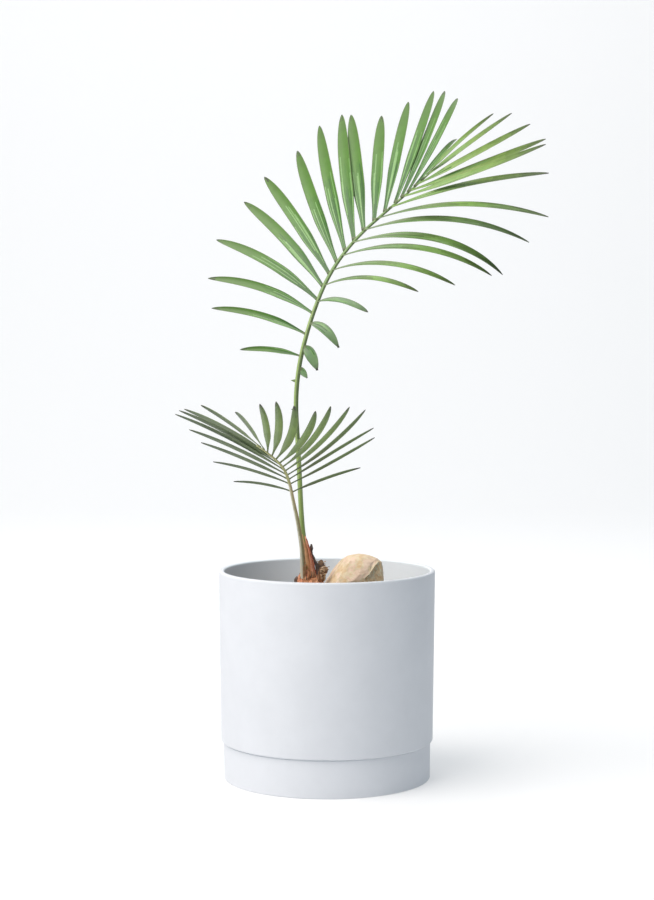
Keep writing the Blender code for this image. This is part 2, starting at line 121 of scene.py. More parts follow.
# Fronds
STEP = 2.0 * MM
RIB_SIDES = 24
RIB_STEP = 1.5 * MM
RIB_FLATNESS = 0.8
RIB_RIDGE = 0.05
LEAFLET_SECTIONS = 46
LEAFLET_STRIPS = 16
LEAFLET_THICKNESS = 0.5 * MM
LEAFLET_CHANNEL = 0.8 * MM
TWISTED_BY = 0.25
SHORT_LEAFLET = 45.0 * MM
OVAL_FROM = 0.1
OVAL_LEAST = 0.12
OVAL_FULLNESS = 0.7
WIDEST_FROM = 0.36
WIDEST_TO = 0.5
LEAFLET_FOOT = 0.32
LEAFLET_TIP = 0.01
TIP_LATENESS = 2.6
TIP_ROUNDNESS = 0.62
VEIN_HEIGHT = 0.05 * MM
COLLAR_LENGTH = 3.5 * MM
COLLAR_THICKNESS = 1.1 * MM
ATTACHED_ABOVE = 1.2 * MM  # a leaflet's foot sits this far above its rib's middle

# The rule of the fronds, as in the solids
# A stem's lean from upright, to the right and to the back, at distances along it in mm
Stem = namedtuple("Stem", "foot bearing length at right back width")
# A row of leaflets. Every pair in a tuple of pairs is a leaflet's number and its value there.
# The row's places on the rib, lengths and widths are in mm, and its angles in degrees: angles
# are each leaflet's lean from the rib, raised lifts it out of the blade's plane, and droop,
# sweep and twist bend it down, bend it towards the frond's tip and turn it about itself.
Row = namedtuple("Row", "side place angles lengths raised droop sweep twist width")

TALL_STEM = Stem(
    foot=(-11.6 * MM, 4.0 * MM, 164.5 * MM),
    bearing=40,
    length=404,
    at=(0, 15, 50, 75, 135, 195, 245, 285, 325, 365, 415),
    right=(-13.5, -15.5, -3.5, -2.5, -3.5, 13.5, 22, 37, 49, 49, 45.5),
    back=(0, 0, 0.5, 1, 5, 12, 19, 23, 25, 27, 29),
    width=((0, 5.6), (60, 4.3), (180, 3.9), (260, 3.4), (330, 2.6), (404, 1.3)),
)
TALL_LEFT = Row(
    side=-1,
    place=((1, 189), (3, 227), (13, 352), (16, 375)),
    angles=(80, 72, 69, 62, 54.5, 54.5, 52, 49.5, 48, 50, 45, 38, 30.5, 26.5, 21, 10.5),
    lengths=(53, 89, 106, 124, 134, 149, 167, 181, 177, 164, 155, 166, 176, 183, 178, 104),
    raised=((1, 39), (7, 24), (11, 25), (15, 30)),
    droop=((1, -1), (4, 16), (7, 23), (10, 16), (13, 27), (16, 47)),
    sweep=((1, -27), (3, -30), (5, -13), (7, 2), (9, 1), (12, -7), (14, -18), (16, -28)),
    twist=((1, 6), (4, 1), (8, -12), (11, -11), (14, -13), (16, -4)),
    width=((1, 4.8), (3, 7.3), (5, 9.7), (8, 11.1), (10, 11.9), (12, 10.3), (15, 7.2), (16, 5)),
)
TALL_RIGHT = Row(
    side=1,
    place=((1, 179), (4, 237), (12, 360), (16, 392)),
    angles=(113.5, 114.5, 83, 66.5, 59.5, 60, 54, 51.5, 51, 55.5, 53.5, 63, 60.5, 63.5, 52, 76),
    lengths=(12, 26, 37, 50, 87, 112, 137, 143, 148, 156, 151, 167, 147, 132, 101, 99),
    raised=((1, -12), (4, -1), (8, -4), (10, 6), (13, 6), (16, 32)),
    droop=((1, 28), (3, 49), (5, 53), (8, 82), (10, 44), (12, -5), (16, 11)),
    sweep=((1, -38), (3, -75), (4, -45), (5, -33), (7, -7), (9, 11), (12, -9), (16, 20)),
    twist=((1, 0), (3, -23), (5, -23), (8, 7), (10, -3), (13, 12), (16, 28)),
    width=((1, 6), (2, 9.7), (3, 8.3), (4, 6.3), (6, 6.5), (8, 8.2), (11, 9.4), (14, 9.6), (16, 7)),
)
LOW_STEM = Stem(
    foot=(-19.5 * MM, -3.9 * MM, 163.8 * MM),
    bearing=247,
    length=158,
    at=(0, 10, 40, 70, 90, 110, 130, 160),
    right=(-2, -1, -7.5, -11.5, -9, -17.5, -43, -56.5),
    back=(-12, -12, -24, -35, -42, -47, -50, -52),
    width=((0, 5.4), (30, 3.6), (80, 2.8), (130, 1.9), (158, 1.2)),
)
LOW_LEFT = Row(
    side=1,
    place=((1, 89), (2, 98), (7, 126), (8, 153), (9, 149)),
    angles=(68.5, 62, 56, 50, 49, 54, 71.5, 62, 92),
    lengths=(49, 66, 78, 89, 100, 96, 103, 69, 77),
    raised=((1, 0), (4, 6), (7, 32), (9, 49)),
    droop=((1, 32), (3, 14), (5, 14), (7, 13), (8, 14), (9, 15)),
    sweep=((1, 4), (3, 2), (5, -4), (7, -7), (8, -13), (9, -15)),
    twist=((1, -19), (5, 4), (7, 24), (8, 31), (9, 42)),
    width=((1, 4.7), (4, 5.8), (9, 5.7)),
)
LOW_RIGHT = Row(
    side=-1,
    place=((1, 88), (2, 98), (9, 138), (10, 144)),
    angles=(66, 64.5, 57, 58, 57, 59, 61, 56.5, 47, 39),
    lengths=(63, 89, 98, 112, 107, 100, 90, 88, 91, 86),
    raised=((1, 24), (4, 16), (7, 8), (10, 8)),
    droop=((1, 12), (2, 9), (3, 11), (4, 9), (6, 5), (8, 4), (10, 11)),
    sweep=((1, -6), (2, 12), (3, 6), (4, 24), (5, 23), (6, 28), (8, 28), (10, 9)),
    twist=((1, 15), (2, 19), (3, 21), (4, 18), (6, 8), (8, 0), (10, -11)),
    width=((1, 4.1), (4, 5), (8, 6.7), (10, 6)),
)


def unit(vectors):
    """The vectors, one or many, at length 1."""
    return vectors / np.linalg.norm(vectors, axis=-1, keepdims=True)


def between(pairs, where):
    """The value at a place, on straight lines between pairs of place and value."""
    places, values = zip(*pairs)
    return np.interp(where, places, values)


def stem_points(stem):
    """Points along a stem's middle, STEP apart, from its foot."""
    middles = (np.arange(round(stem.length * MM / STEP)) + 0.5) * STEP
    right = np.tan(np.radians(np.interp(middles, np.multiply(stem.at, MM), stem.right)))
    back = np.tan(np.radians(np.interp(middles, np.multiply(stem.at, MM), stem.back)))
    ways = unit(np.stack([right, back, np.ones_like(right)], axis=1))
    return np.vstack([stem.foot, stem.foot + np.cumsum(ways * STEP, axis=0)])


def stem_frames(stem):
    """(points, along, side, up): a stem's points with their directions.

    side points across the blade, to the right of the way that the frond leans, and up is the
    normal of the blade's upper face."""
    points = stem_points(stem)
    along = unit(np.gradient(points, axis=0))
    level = np.array([sin(radians(stem.bearing)), -cos(radians(stem.bearing)), 0.0])
    side = unit(level - (along @ level)[:, None] * along)
    return points, along, side, np.cross(side, along)


def leaflet_course(frames, row, number):
    """(points, along, across, up) down the middle of one leaflet, from inside the rib."""
    place = between(row.place, number) * MM / STEP
    low = int(place)
    point, along, side, up = (
        lines[low] * (1 - place + low) + lines[low + 1] * (place - low) for lines in frames
    )
    turn = radians(row.angles[number - 1])
    lift = radians(between(row.raised, number))
    out = cos(lift) * row.side * side + sin(lift) * up
    face = cos(lift) * up - sin(lift) * row.side * side
    start = cos(turn) * along + sin(turn) * out
    across = sin(turn) * along - cos(turn) * out
    length = row.lengths[number - 1] * MM
    share = np.linspace(0, 1, LEAFLET_SECTIONS)
    droop = np.radians(between(row.droop, number)) * share[:, None]
    sweep = np.radians(between(row.sweep, number)) * share[:, None]
    level = np.cos(sweep) * start + np.sin(sweep) * across
    ways = unit(np.cos(droop) * level - np.sin(droop) * face)
    faces = unit(np.cos(droop) * face + np.sin(droop) * level)
    steps = (ways[1:] + ways[:-1]) / 2 * length / (LEAFLET_SECTIONS - 1)
    points = np.vstack([point, point + np.cumsum(steps, axis=0)])
    twist = np.radians(between(row.twist, number)) * np.minimum(share / TWISTED_BY, 1)[:, None]
    level = np.cross(faces, ways)
    across = np.cos(twist) * level + np.sin(twist) * faces
    return points, ways, across, np.cross(ways, across)


def blade_outline(share, length):
    """A leaflet's width, as a share of its full width, at each share of its length."""
    if length < SHORT_LEAFLET:
        oval = np.sin(pi * (OVAL_FROM + (1 - OVAL_FROM) * share))
        return np.clip(oval, OVAL_LEAST, 1) ** OVAL_FULLNESS
    rise = np.clip(share / WIDEST_FROM, 0, 1)
    fall = np.clip((share - WIDEST_TO) / (1 - WIDEST_TO), 0, 1)
    wider = LEAFLET_FOOT + (1 - LEAFLET_FOOT) * rise * rise * (3 - 2 * rise)
    return wider * (1 - (1 - LEAFLET_TIP) * fall**TIP_LATENESS) ** TIP_ROUNDNESS


# The rule of the fronds ends here


def linear(red, green, blue):
    """A colour given as it looks on a screen, 0 to 255, in a shader's linear values."""
    return tuple(((part / 255 + 0.055) / 1.055) ** 2.4 for part in (red, green, blue))


# Materials


def surface(name, dark, light, grain, roughness, relief=0.0, relief_grain=None):
    """A material whose colour drifts between two tones, with noise of a given grain size.

    relief is the depth of its fine bumps, and relief_grain their size."""
    made = bpy.data.materials.new(name)
    made.use_nodes = True
    nodes = made.node_tree.nodes
    links = made.node_tree.links
    shader = nodes["Principled BSDF"]
    place = nodes.new("ShaderNodeTexCoord")
    drift = nodes.new("ShaderNodeTexNoise")
    drift.inputs["Scale"].default_value = 1 / grain
    drift.inputs["Detail"].default_value = 5
    drift.inputs["Roughness"].default_value = 0.6
    links.new(place.outputs["Object"], drift.inputs["Vector"])
    tones = nodes.new("ShaderNodeValToRGB")
    tones.color_ramp.elements[0].position = 0.34
    tones.color_ramp.elements[0].color = (*linear(*dark), 1)
    tones.color_ramp.elements[1].position = 0.66
    tones.color_ramp.elements[1].color = (*linear(*light), 1)
    links.new(drift.outputs["Fac"], tones.inputs["Fac"])
    links.new(tones.outputs["Color"], shader.inputs["Base Color"])
    shader.inputs["Roughness"].default_value = roughness
    if relief:
        rough = nodes.new("ShaderNodeTexNoise")
        rough.inputs["Scale"].default_value = 1 / (relief_grain or grain)
        rough.inputs["Detail"].default_value = 6
        links.new(place.outputs["Object"], rough.inputs["Vector"])
        bump = nodes.new("ShaderNodeBump")
        bump.inputs["Distance"].default_value = relief
        bump.inputs["Strength"].default_value = 1
        links.new(rough.outputs["Fac"], bump.inputs["Height"])
        links.new(bump.outputs["Normal"], shader.inputs["Normal"])
    return made


def tones_between(name, stops, steps, drift, roughness):
    """Materials whose colours run in even steps through stops of a share and a colour.

    Each drifts by a share of its own brightness, dark to light."""
    shares = [share for share, _ in stops]
    made = []
    for step in range(steps):
        share = (step + 0.5) / steps
        tone = np.array([
            np.interp(share, shares, [colour[part] for _, colour in stops])
            for part in range(3)
        ])
        grain = LEAF_GRAIN
        made.append(surface(f"{name}_{step}", tone * (1 - drift), tone * (1 + drift), grain, roughness))
    return made


# Making meshes


class Gathered:
    """Collects many small parts, which then become one piece."""

    def __init__(self):
        self.points = []
        self.faces = []
        self.slots = []
        self.count = 0

    def add(self, points, faces, slots):
        """Adds a part from its points, its faces and its faces' material numbers."""
        self.points.append(np.asarray(points))
        self.faces += [[corner + self.count for corner in face] for face in faces]
        self.slots += list(slots)
        self.count += len(points)

    def add_loft(self, rings, slots=0):
        """Adds a closed part through rings, an array of rings by points by x, y and z.

        slots is one material number, or an array of them for each ring but the last."""
        rings = np.asarray(rings)
        rows, around = rings.shape[:2]
        slots = np.broadcast_to(slots, (rows - 1, around))
        middle = rows // 2
        spokes = rings[middle] - rings[middle].mean(axis=0)
        facing = np.cross(spokes, np.roll(spokes, -1, axis=0)).sum(axis=0)
        ahead = rings[min(middle + 1, rows - 1)].mean(axis=0) - rings[middle - 1].mean(axis=0)
        if facing @ ahead < 0:
            rings = rings[:, ::-1]
            slots = np.roll(slots[:, ::-1], -1, axis=1)
        order = np.arange(rows * around).reshape(rows, around)
        ahead = np.roll(order, -1, axis=1)
        quads = np.stack([order[:-1], ahead[:-1], ahead[1:], order[1:]], axis=-1)
        faces = quads.reshape(-1, 4).tolist()
        faces.append(order[0, ::-1].tolist())
        faces.append(order[-1].tolist())
        self.add(rings.reshape(-1, 3), faces, [*slots.ravel(), slots[0, 0], slots[-1, 0]])

    def piece(self, name, materials):
        """Makes the piece, smooth, with the materials that the parts' numbers count through."""
        mesh = bpy.data.meshes.new(name)
        mesh.from_pydata(np.vstack(self.points).tolist(), [], self.faces)
        mesh.polygons.foreach_set("material_index", np.array(self.slots, dtype=np.int32))
        mesh.shade_smooth()
        for material in materials:
            mesh.materials.append(material)
        return object_from(name, mesh)


def object_from(name, mesh):
    """A new object in the scene for a mesh."""
    made = bpy.data.objects.new(name, mesh)
    bpy.context.scene.collection.objects.link(made)
    return made


def roughen(piece, size, depth, stretch=(1, 1, 1)):
    """Moves a piece's points along their normals by noise of a given size and depth."""
    mesh = piece.data
    normals = np.array([normal.vector[:] for normal in mesh.vertex_normals])
    points = np.array([vertex.co[:] for vertex in mesh.vertices])
    places = points / size / stretch
    heights = [noise.fractal(Vector(place), 1.0, 2.0, 4) * depth for place in places]
    points += normals * np.array(heights)[:, None]
    mesh.vertices.foreach_set("co", points.ravel())
    mesh.update()


def ball(divisions):
    """(points, faces) of a unit ball of triangles."""
    work = bmesh.new()
    bmesh.ops.create_icosphere(work, subdivisions=divisions, radius=1)
    points = np.array([vertex.co[:] for vertex in work.verts])
    faces = [[vertex.index for vertex in face.verts] for face in work.faces]
    work.free()
    return points, faces


def sprayed(points, faces, patch, tones):
    """A material number for each face, dealt out from a few by noise with patches of a size."""
    slots = []
    for face in faces:
        middle = points[face].mean(axis=0) / patch
        share = np.clip(noise.fractal(Vector(middle), 1.0, 2.0, 3) + 0.5, 0, 0.999)
        slots.append(tones[int(share * len(tones))])
    return slots


def place_piece(piece, slot, *nodes):
    """Puts a piece on the part's body, where it stands for the nodes."""
    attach(piece, "root")
    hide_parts(*nodes)


# Pot and saucer


def filleted(corners):
    """An outline from corners of (radius, height, fillet), with each fillet as an arc."""
    outline = []
    for i, (radius, height, fillet) in enumerate(corners):
        corner = np.array([radius, height])
        if not fillet:
            outline.append(corner)
            continue
        before = unit(np.array(corners[i - 1][:2]) - corner)
        after = unit(np.array(corners[i + 1][:2]) - corner)
        half_angle = np.arccos(np.clip(before @ after, -1, 1)) / 2
        reach = fillet / np.tan(half_angle)
        centre = corner + unit(before + after) * fillet / np.sin(half_angle)
        first = corner + before * reach - centre
        last = corner + after * reach - centre
        sweep = pi - 2 * half_angle
        for step in range(ARC_STEPS + 1):
            share = step / ARC_STEPS
            mix = first * sin(sweep * (1 - share)) + last * sin(sweep * share)
            outline.append(centre + mix / sin(sweep))
    return outline


def turned(name, corners, material):
    """A solid of revolution about Z from an outline that starts and ends on the axis."""
    outline = filleted(corners)
    mesh = bpy.data.meshes.new(name)
    edges = [(i, i + 1) for i in range(len(outline) - 1)]
    mesh.from_pydata([(radius, 0, height) for radius, height in outline], edges, [])
    mesh.materials.append(material)
    made = object_from(name, mesh)
    screw = made.modifiers.new("turn", "SCREW")
    screw.steps = TURN_STEPS
    screw.render_steps = TURN_STEPS
    screw.use_merge_vertices = True
    screw.merge_threshold = MERGED
    screw.use_smooth_shade = True
    return made


def pot(material):
    """A thin cylinder, slightly wider at its rim, whose foot steps in to sit in the saucer."""
    floor = SAUCER_FLOOR + GAP
    step = SAUCER_HEIGHT + GAP
    foot = SAUCER_RADIUS - SAUCER_WALL - FOOT_CLEARANCE
    foot_inside = foot - POT_WALL
    return turned(
        "pot_body",
        [
            (0, floor + POT_FLOOR, 0),
            (foot_inside, floor + POT_FLOOR, INSIDE_FILLET),
            (foot_inside, step + POT_WALL, INSIDE_FILLET),
            (POT_LOW_RADIUS - POT_WALL, step + POT_WALL, INSIDE_FILLET),
            (RIM_RADIUS - POT_WALL, RIM_HEIGHT, LIP_FILLET),
            (RIM_RADIUS, RIM_HEIGHT, LIP_FILLET),
            (POT_LOW_RADIUS, step, EDGE_FILLET),
            (foot, step, 0),
            (foot, floor, EDGE_FILLET),
            (0, floor, 0),
        ],
        material,
    )


def saucer(material):
    """A straight-sided dish with a flat underside."""
    inside = SAUCER_RADIUS - SAUCER_WALL
    return turned(
        "saucer_body",
        [
            (0, SAUCER_FLOOR, 0),
            (inside, SAUCER_FLOOR, EDGE_FILLET),
            (inside, SAUCER_HEIGHT, EDGE_FILLET),
            (SAUCER_RADIUS, SAUCER_HEIGHT, EDGE_FILLET),
            (SAUCER_LOW_RADIUS, 0, EDGE_FILLET),
            (0, 0, 0),
        ],
        material,
    )


# Potting mix and pebble


def soil_height(x, y):
    """How high the uneven top of the potting mix lies at a place."""
    lumps = noise.fractal(Vector((x, y, 0)) / SOIL_LUMP, 0.8, 2.0, 5)
    return SOIL_HEIGHT - 0.4 * MM + lumps * SOIL_RELIEF


def covered(x, y):
    """Whether the pebble or the caudex stands on this place of the potting mix."""
    from_stone = ((x - STONE_PLACE[0]) / STONE_SIZE[0], (y - STONE_PLACE[1]) / STONE_SIZE[1])
    from_caudex = (x - CAUDEX_PLACE[0], y - CAUDEX_PLACE[1])
    return np.hypot(*from_stone) < 0.5 or np.hypot(*from_caudex) < CAUDEX_RADIUS * CAUDEX_FLARE


def soil(materials):
    """The uneven top of the potting mix, with a skirt down the pot's wall, and its crumbs."""
    mix = Gathered()
    angles = np.arange(SOIL_SECTORS) * 2 * pi / SOIL_SECTORS
    rings = []
    for ring in range(SOIL_RINGS + 1):
        radius = max(SOIL_RADIUS * ring / SOIL_RINGS, 0.1 * MM)
        spots = [(radius * cos(angle), radius * sin(angle)) for angle in angles]
        rings.append([(x, y, soil_height(x, y)) for x, y in spots])
    skirt = SOIL_HEIGHT - SOIL_SKIRT
    rings.append([(x, y, skirt) for x, y, _ in rings[-1]])
    rings.append([(0.01 * x, 0.01 * y, skirt) for x, y, _ in rings[-1]])
    mix.add_loft(rings)
    chance = np.random.default_rng(SEED)
    points, faces = ball(2)
    for _ in range(CRUMBS):
        radius = (SOIL_RADIUS - CRUMB_SIZES[1]) * chance.random() ** 0.5
        angle = 2 * pi * chance.random()
        x, y = radius * cos(angle), radius * sin(angle)
        sizes = chance.uniform(*CRUMB_SIZES, 3) / 2 * (1, 1, CRUMB_FLATNESS)
        slot = int(chance.integers(len(materials)))
        if covered(x, y):
            continue
        middle = np.array([x, y, soil_height(x, y)])
        lumpy = [
            point * (1 + CRUMB_LUMPINESS * noise.noise(Vector(point * 1.7 + middle / MM)))
            for point in points
        ]
        mix.add(middle + np.array(lumpy) * sizes, faces, [slot] * len(faces))
    return mix.piece("potting_mix", materials)


# The flat places on the stone: which way each faces, and how far out it lies, as a share of
# the distance to the round surface
STONE_FLATS = (
    ((1.0, -0.1, -0.13), 0.88),
    ((-0.75, -0.2, 0.66), 0.62),
    ((-0.93, -0.3, -0.36), 0.78),
    ((-0.2, -0.85, 0.5), 0.88),
    ((0.3, 0.9, 0.5), 0.84),
    ((0.0, 0.0, -1.0), 0.80),
)
STONE_WEAR = 0.85
# The crease across the stone's front, in shares of its half sizes: the way across it, how far
# from the middle it runs, and the flat on its lower side
CREASE_ACROSS = (-0.66, 0.0, 0.75)
CREASE_PLACE = -0.227
CREASE_FLAT = ((0.75, -0.66, 0.03), 0.84)
CREASE_SOFTNESS = 0.06
CREASE_FADE = 0.05
CREASE_WANDER = 0.06
CREASE_WAVE = 0.22
RIDGE_HEIGHT = 0.022
RIDGE_WIDTH = 0.032
GROOVE_DEPTH = 0.025
GROOVE_PLACE = 0.12
GROOVE_WIDTH = 0.045
GROOVE_START = 0.6
# The stone's tones, and how they are dealt out: in round patches, and in streaks on the flat, which are
# its real striations, warmer and lighter as painted light against the flat's shade. The cream tone also
# paints a highlight along the crease's ridge.
OCHRE, SAND, PINK, CREAM_AND_HIGHLIGHT, STREAK_AND_PAINTED_LIGHT = range(5)
STREAK_PATCH = np.array([1.6, 1.6, 7.0]) * MM
STONE_DIVISIONS = 7
STONE_PATCH = 7.0 * MM


def crease(points):
    """(above, past): how far points of a unit ball lie above the stone's crease, and how far
    out past the flat below it."""
    wander = [noise.noise(Vector(point / CREASE_WAVE)) * CREASE_WANDER for point in points]
    above = points @ unit(np.array(CREASE_ACROSS)) - CREASE_PLACE + wander
    facing, share = CREASE_FLAT
    return above, np.clip(points @ unit(np.array(facing)) - share, 0, None)


def creased(points):
    """The points of a unit ball with a low ridge and a groove across its front, over a flat."""
    above, past = crease(points)
    ridge = RIDGE_HEIGHT * np.exp(-((above / RIDGE_WIDTH) ** 2))
    groove = GROOVE_DEPTH * np.exp(-(((above - GROOVE_PLACE) / GROOVE_WIDTH) ** 2))
    groove = groove * (points[:, 0] > GROOVE_START)
    lift = (ridge - groove) * np.clip(past / CREASE_FADE, 0, 1)
    worn = STONE_WEAR * past * np.clip(-above / CREASE_SOFTNESS, 0, 1)
    return points + points * lift[:, None] - worn[:, None] * unit(np.array(CREASE_FLAT[0]))


def stone(materials):
    """A rounded pebble with a few worn flats, a crease and a finely pitted skin."""
    round_points, faces = ball(STONE_DIVISIONS)
    points = creased(round_points)
    for facing, share in STONE_FLATS:
        normal = unit(np.array(facing))
        past = np.clip(points @ normal - share, 0, None)
        points = points - past[:, None] * normal * STONE_WEAR
    points = points * np.array(STONE_SIZE) / 2
    slots = np.array(sprayed(points, faces, STONE_PATCH, (OCHRE, SAND, PINK)))
    streaks = np.array(sprayed(points, faces, STREAK_PATCH, (STREAK_AND_PAINTED_LIGHT, CREAM_AND_HIGHLIGHT, STREAK_AND_PAINTED_LIGHT)))
    above, past = crease(round_points[np.array(faces)].mean(axis=1))
    # The flat takes the streaked tones: real striations, warmer and lighter as painted light against its
    # shade
    flat = (past > 0) & (above < 0)
    slots[flat] = streaks[flat]
    # The crease's ridge takes the cream tone as a painted highlight
    slots[(past > CREASE_FADE / 2) & (abs(above) < RIDGE_WIDTH)] = CREAM_AND_HIGHLIGHT
    pebble = Gathered()
    pebble.add(points, faces, slots)
    made = pebble.piece("pebble_body", materials)
    roughen(made, 9 * MM, 0.40 * MM)
    roughen(made, 1.8 * MM, 0.17 * MM, stretch=(2.0, 2.0, 1))
    made.location = STONE_PLACE
    made.rotation_euler = (0, radians(STONE_TURN), 0)
    return made


# Crown

RUST, SALMON, RED, OLIVE, GREY, BROWN, TAN = range(7)
# Pointed scales: foot and tip in mm from the caudex's foot, width in mm, and the material
# numbers of its two tones
CROWN_SCALES = (
    ((5.0, -2.5, 14), (-3.0, -1.0, 52.5), 8.0, (SALMON, RED, RED)),
    ((-0.5, -1.2, 10), (-2.8, -1.3, 30.0), 9.0, (OLIVE, OLIVE, RUST)),
    ((-1.0, -6.5, 8), (-0.4, -7.5, 24.0), 9.0, (RUST, RED)),
    ((6.0, -4.0, 8), (8.5, -5.5, 24.0), 7.0, (RUST, BROWN)),
    ((-5.5, -5.5, 8), (-8.2, -6.5, 21.0), 7.0, (SALMON, RUST)),
    ((-7.5, 4.0, 6), (-9.5, 6.0, 18.0), 7.5, (RUST, BROWN)),
    ((0.0, 8.0, 8), (-0.5, 10.5, 25.0), 8.0, (RUST, BROWN)),
    ((6.5, 5.0, 8), (9.0, 7.5, 22.0), 7.0, (RUST, BROWN)),
)
SCALE_SECTIONS = 30
SCALE_SIDES = 24
SCALE_RIDGE = 0.10
SCALE_BOW = 1.2 * MM
SCALE_THICKNESS = 2.6 * MM
SCALE_NARROWING = 0.85
SCALE_THINNING = 0.6
# The withered scale with a knob near its tip: its middle and its width, in mm from the
# caudex's foot
WITHERED_SCALE = (
    ((7.6, 0.5, 13.0), 4.6),
    ((6.8, 0.5, 27.5), 3.2),
    ((3.8, 0.5, 34.0), 2.4),
    ((1.7, 0.5, 39.8), 1.9),
    ((2.0, 0.5, 42.6), 3.5),
    ((1.8, 0.5, 46.0), 0.8),
)
WITHERED_DEPTH = 0.8
WITHERED_SECTIONS = 40
# The dry stub of an old leaf, and the knob of another at the left: their lobes' centres and
# sizes, in mm from the caudex's foot, and the material numbers of their two tones
STUB_LOBES = (
    ((8.5, 1.5, 12.0), (8.0, 8.0, 9.0), (BROWN, RUST)),
    ((10.8, 2.0, 18.5), (6.0, 7.0, 9.0), (BROWN, TAN)),
    ((11.5, 2.0, 24.0), (8.5, 7.5, 8.0), (BROWN, TAN)),
    ((10.0, 2.0, 28.4), (5.0, 5.5, 8.6), (BROWN, GREY)),
    ((-10.2, -1.0, 15.5), (4.4, 5.0, 7.2), (GREY, GREY)),
)
STUB_PATCH = 2.2 * MM  # the size of the patches of one tone on them
CAUDEX_OUTLINE = ((0, 1.35), (0.16, 1.06), (0.55, 1.0), (0.85, 0.75), (0.95, 0.5), (1.0, 0.2))
CAUDEX_SECTIONS = 28
CAUDEX_SIDES = 64
# The small scales that clasp the caudex, one after another round and up it
CLASPING_SCALES = 34
CLASPING_TURN = 137.5
CLASPING_LENGTHS = (6.0, 9.0)
CLASPING_WIDTHS = (5.0, 7.0)
# The flakes on the dry stub
FLAKES = 26
FLAKE_SIZES = (1.8 * MM, 3.2 * MM)
FLAKE_SECTIONS = 12
FLAKE_SIDES = 12
FLAKE_THICKNESS = 0.5 * MM
FLAKE_CURL = 2.0  # how far a flake curls from root to tip, in radians


def crown_scale(crown, base, foot, tip, width, tones, chance):
    """A pointed scale that stands on the caudex and bows outward, finely ridged."""
    foot = base + np.array(foot) * MM
    tip = base + np.array(tip) * MM
    outward = unit(np.array([foot[0] - base[0], foot[1] - base[1], 0.0]))
    level = np.array([-outward[1], outward[0], 0.0])
    turns = np.arange(SCALE_SIDES) * 2 * pi / SCALE_SIDES
    ridge = 1 + SCALE_RIDGE * np.cos(np.arange(SCALE_SIDES) * pi)
    rings = []
    for share in np.linspace(0, 1, SCALE_SECTIONS):
        middle = foot + (tip - foot) * share + outward * SCALE_BOW * sin(pi * share)
        half = width * MM / 2 * (1 - SCALE_NARROWING * share)
        depth = SCALE_THICKNESS / 2 * (1 - SCALE_THINNING * share)
        rings.append([
            middle + (level * half * cos(turn) + outward * depth * sin(turn)) * swell
            for turn, swell in zip(turns, ridge)
        ])
    crown.add_loft(rings, chance.choice(tones, SCALE_SIDES))


def withered_scale(crown, base):
    """The thin dry scale that stands beside the tall stalk."""
    middles, widths = zip(*WITHERED_SCALE)
    known = np.linspace(0, 1, len(middles))
    turns = np.arange(SCALE_SIDES) * 2 * pi / SCALE_SIDES
    rings = []
    for share in np.linspace(0, 1, WITHERED_SECTIONS):
        middle = base + MM * np.array([
            np.interp(share, known, [place[axis] for place in middles])
            for axis in range(3)
        ])
        half = np.interp(share, known, widths) * MM / 2
        rings.append([
            middle + half * np.array([cos(turn), WITHERED_DEPTH * sin(turn), 0.0])
            for turn in turns
        ])
    crown.add_loft(rings, GREY)


def flake(crown, root, outward, size, slot):
    """A thin dry flake that stands up from its root and curls outward."""
    up = unit(np.array([0.0, 0.0, 1.0]) + 0.4 * outward)
    side = unit(np.cross(outward, up))
    turns = np.arange(FLAKE_SIDES) * 2 * pi / FLAKE_SIDES
    middle = root
    rings = []
    for share in np.linspace(0, 1, FLAKE_SECTIONS):
        curl = FLAKE_CURL * share
        way = up * cos(curl) + outward * sin(curl)
        face = outward * cos(curl) - up * sin(curl)
        middle = middle + way * size / FLAKE_SECTIONS
        half = size * 0.4 * (1 - 0.85 * share**2)
        rings.append([
            middle + side * half * cos(turn) + face * FLAKE_THICKNESS / 2 * sin(turn)
            for turn in turns
        ])
    crown.add_loft(rings, slot)


def stub(crown, base, chance):
    """The wrinkled lobes of the dry stub and the knob, with flakes that curl off them."""
    points, faces = ball(4)
    for centre, size, tones in STUB_LOBES:
        lobe = base + (np.array(centre) + points * np.array(size) / 2) * MM
        crown.add(lobe, faces, sprayed(lobe, faces, STUB_PATCH, tones))
    for _ in range(FLAKES):
        centre, size, _ = STUB_LOBES[chance.integers(1, len(STUB_LOBES) - 1)]
        turn = 2 * pi * chance.random()
        lift = chance.uniform(-0.7, 0.6)
        outward = np.array([cos(turn), sin(turn), 0.0])
        spot = np.array([cos(turn) * cos(lift), sin(turn) * cos(lift), sin(lift)])
        root = base + (np.array(centre) + spot * np.array(size) / 2) * MM - outward * 0.7 * MM
        flake(crown, root, outward, chance.uniform(*FLAKE_SIZES), chance.choice((BROWN, TAN, TAN, GREY)))


def clasping_scales(crown, base, chance):
    """The small scales that clasp the caudex, in a spiral from its foot to its top."""
    heights, radii = zip(*CAUDEX_OUTLINE)
    for number in range(CLASPING_SCALES):
        turn = radians(CLASPING_TURN * number)
        share = number / CLASPING_SCALES
        out = CAUDEX_RADIUS / MM * np.interp(share, heights, radii) - 0.6
        length = chance.uniform(*CLASPING_LENGTHS)
        high = CAUDEX_HEIGHT / MM * share
        tip_share = min(1, share + length * MM / CAUDEX_HEIGHT)
        tip_out = CAUDEX_RADIUS / MM * np.interp(tip_share, heights, radii) + 0.4
        foot = (out * cos(turn), out * sin(turn), high)
        tip = (tip_out * cos(turn), tip_out * sin(turn), high + length)
        width = chance.uniform(*CLASPING_WIDTHS)
        crown_scale(crown, base, foot, tip, width, (RUST, RUST, SALMON, BROWN), chance)


